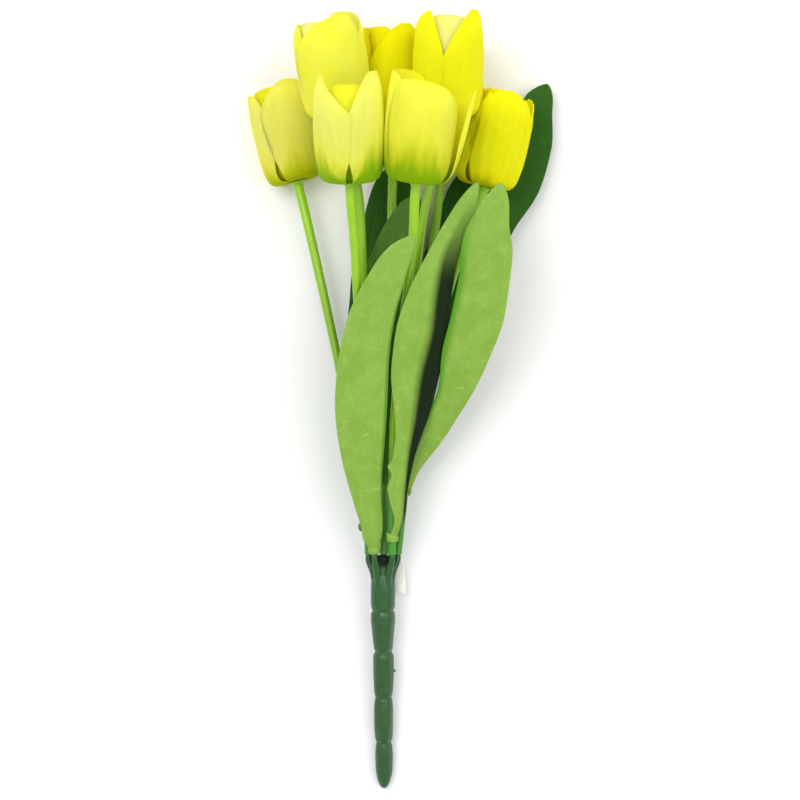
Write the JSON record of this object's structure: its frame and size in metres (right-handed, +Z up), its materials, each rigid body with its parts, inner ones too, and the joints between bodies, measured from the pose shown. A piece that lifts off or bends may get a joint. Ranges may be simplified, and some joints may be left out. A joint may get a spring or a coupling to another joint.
{
  "type": "artificial tulip bunch",
  "caption": "Bunch of artificial tulips on one moulded handle: fabric blooms on plastic stems with slip-on leaves, laid flat to rest on a surface.",
  "frame": {"origin": "centre of the underside of the bunch's box, on the surface that it lies on", "axes": "+Z up from the surface; +Y from the handle's tip to the blooms; +X to the right seen from above"},
  "size_m": [0.1767, 0.4449, 0.1142],
  "materials": {
    "handle_plastic": "satin moulded plastic, mid green",
    "stem_plastic": "soft gloss plastic, lime green, darker at the foot",
    "petal_fabric_outer": "printed cloth, lemon yellow with a green base",
    "petal_fabric_inner": "printed cloth, pale lemon yellow",
    "cap_plastic": "matt plastic, yellow green",
    "leaf_fabric_light": "coated cloth, satin light green with pressed veins",
    "leaf_fabric_dark": "coated cloth, satin dark green with pressed veins",
    "tag_paper": "blank translucent strip"
  },
  "bodies": {
    "root": {"handle": "handle_plastic", "stem_left": "stem_plastic", "bloom_left_outer_petals": "petal_fabric_outer", "bloom_left_inner_petals": "petal_fabric_inner", "bloom_left_cap": "cap_plastic", "stem_upper_left": "stem_plastic", "bloom_upper_left_outer_petals": "petal_fabric_outer", "bloom_upper_left_inner_petals": "petal_fabric_inner", "bloom_upper_left_cap": "cap_plastic", "stem_upper_middle": "stem_plastic", "bloom_upper_middle_outer_petals": "petal_fabric_outer", "bloom_upper_middle_inner_petals": "petal_fabric_inner", "bloom_upper_middle_cap": "cap_plastic", "stem_upper_right": "stem_plastic", "bloom_upper_right_outer_petals": "petal_fabric_outer", "bloom_upper_right_inner_petals": "petal_fabric_inner", "bloom_upper_right_cap": "cap_plastic", "stem_front_left": "stem_plastic", "bloom_front_left_outer_petals": "petal_fabric_outer", "bloom_front_left_inner_petals": "petal_fabric_inner", "bloom_front_left_cap": "cap_plastic", "stem_front_right": "stem_plastic", "bloom_front_right_outer_petals": "petal_fabric_outer", "bloom_front_right_inner_petals": "petal_fabric_inner", "bloom_front_right_cap": "cap_plastic", "stem_right": "stem_plastic", "bloom_right_outer_petals": "petal_fabric_outer", "bloom_right_inner_petals": "petal_fabric_inner", "bloom_right_cap": "cap_plastic", "stem_back": "stem_plastic", "bloom_back_outer_petals": "petal_fabric_outer", "bloom_back_inner_petals": "petal_fabric_inner", "bloom_back_cap": "cap_plastic", "leaf_front_left": "leaf_fabric_light", "leaf_front_middle": "leaf_fabric_light", "leaf_front_right": "leaf_fabric_light", "leaf_middle": "leaf_fabric_dark", "leaf_back_left": "leaf_fabric_dark", "leaf_back_middle": "leaf_fabric_dark", "leaf_back_right": "leaf_fabric_dark", "leaf_under": "leaf_fabric_dark", "tag": "tag_paper"}
  },
  "joints": []
}
